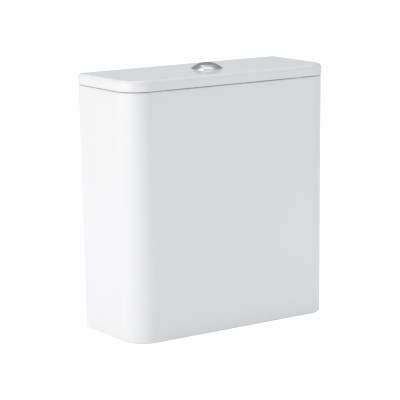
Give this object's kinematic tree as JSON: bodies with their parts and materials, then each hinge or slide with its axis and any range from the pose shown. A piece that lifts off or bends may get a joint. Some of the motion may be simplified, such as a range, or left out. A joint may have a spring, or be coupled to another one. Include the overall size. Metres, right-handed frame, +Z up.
{
  "type": "toilet cistern",
  "caption": "Close-coupled ceramic toilet cistern with a lift-off lid, dual-flush push button, lever-lifted flush valve and float-operated fill valve.",
  "frame": {"origin": "middle of the plane that the tank's lower rim rests on", "axes": "+X to the right seen from the front, +Y to the wall, +Z up"},
  "size_m": [0.372, 0.154, 0.4086],
  "materials": {
    "white_glaze": "glossy white glaze",
    "chrome_plated_abs": "bright chrome plating on plastic",
    "clear_rubber": "translucent soft rubber",
    "black_rubber": "matte moulded rubber",
    "black_foam": "matte closed-cell foam rubber",
    "white_abs": "satin moulded plastic",
    "white_acetal": "satin moulded acetal",
    "white_pp": "translucent white moulded plastic",
    "grey_acetal": "satin grey moulded acetal",
    "blue_acetal": "satin blue moulded acetal",
    "brass_nut": "machined brass",
    "spring_steel": "drawn stainless wire",
    "steel_pin": "ground stainless"
  },
  "bodies": {
    "cistern": {"tank": "white_glaze", "valve_base": "white_abs", "base_washer": "black_rubber", "valve_backnut": "white_abs", "coupling_seal": "black_foam", "valve_tower": "white_abs", "lever_bridge": "grey_acetal", "lever_pins": "steel_pin", "fill_shank": "white_acetal", "fill_washer": "black_rubber", "fill_backnut": "white_acetal", "inlet_filter": "white_pp", "fill_riser": "white_abs", "fill_head": "grey_acetal", "fill_cap": "blue_acetal", "fill_diaphragm": "black_rubber", "fill_lever_pin": "steel_pin", "silencer_tube": "white_pp"},
    "lid": {"lid": "white_glaze", "lid_bumpers": "clear_rubber", "button_bezel": "chrome_plated_abs", "button_washer": "black_rubber", "button_nut": "white_abs", "button_guide": "white_abs", "full_button_spring": "spring_steel", "half_button_spring": "spring_steel"},
    "full_button": {"full_flush_button": "chrome_plated_abs", "full_push_rod": "white_acetal", "full_lock_nut": "brass_nut"},
    "half_button": {"half_flush_button": "chrome_plated_abs", "half_push_rod": "white_acetal", "half_lock_nut": "brass_nut"},
    "full_lever": {"full_lever": "blue_acetal"},
    "half_lever": {"half_lever": "white_acetal"},
    "lift_yoke": {"lift_yoke": "blue_acetal", "full_flush_float": "white_pp"},
    "flush_tube": {"overflow_tube": "white_abs", "tube_clip": "grey_acetal", "half_flush_float": "white_pp", "flush_seal": "black_rubber", "seal_plate": "white_abs", "seal_clamp": "white_abs"},
    "fill_float": {"float_cup": "white_pp", "link_rod": "white_acetal", "level_nuts": "blue_acetal"},
    "fill_lever": {"fill_lever": "white_acetal", "pilot_seal": "black_rubber"}
  },
  "joints": [
    {"name": "lid_lift", "type": "slide", "parent": "cistern", "child": "lid", "axis": [0, 0, 1], "range_m": [0, 0.1]},
    {"name": "full_button_press", "type": "slide", "parent": "lid", "child": "full_button", "axis": [0, 0, -1], "range_m": [0, 0.008], "stiffness_N_per_m": 250, "springref_m": -0.004, "deforming": ["full_button_spring"]},
    {"name": "half_button_press", "type": "slide", "parent": "lid", "child": "half_button", "axis": [0, 0, -1], "range_m": [0, 0.008], "stiffness_N_per_m": 250, "springref_m": -0.004, "deforming": ["half_button_spring"]},
    {"name": "full_lever_rock", "type": "hinge", "parent": "cistern", "child": "full_lever", "pos_m": [-0.012, -0.0135, 0.3155], "axis": [0, 1, 0], "range_deg": [0, 23.08]},
    {"name": "half_lever_rock", "type": "hinge", "parent": "cistern", "child": "half_lever", "pos_m": [0.012, 0.0035, 0.3155], "axis": [0, -1, 0], "range_deg": [0, 23.08]},
    {"name": "yoke_lift", "type": "slide", "parent": "cistern", "child": "lift_yoke", "axis": [0, 0, 1], "range_m": [0, 0.012]},
    {"name": "tube_lift", "type": "slide", "parent": "lift_yoke", "child": "flush_tube", "axis": [0, 0, 1], "range_m": [0, 0.012]},
    {"name": "float_rise", "type": "slide", "parent": "cistern", "child": "fill_float", "axis": [0, 0, 1], "range_m": [0, 0.018]},
    {"name": "fill_lever_rock", "type": "hinge", "parent": "cistern", "child": "fill_lever", "pos_m": [-0.125, 0, 0.2905], "axis": [0, -1, 0], "range_deg": [0, 29.66]}
  ],
  "couplings": [
    {"joint": "full_lever_rock", "follows": "full_button_press", "rad_per_m": 50.34},
    {"joint": "half_lever_rock", "follows": "half_button_press", "rad_per_m": 50.34},
    {"joint": "yoke_lift", "follows": "full_button_press", "ratio": 1.5},
    {"joint": "tube_lift", "follows": "half_button_press", "ratio": 1.5},
    {"joint": "fill_lever_rock", "follows": "float_rise", "rad_per_m": 28.752}
  ]
}
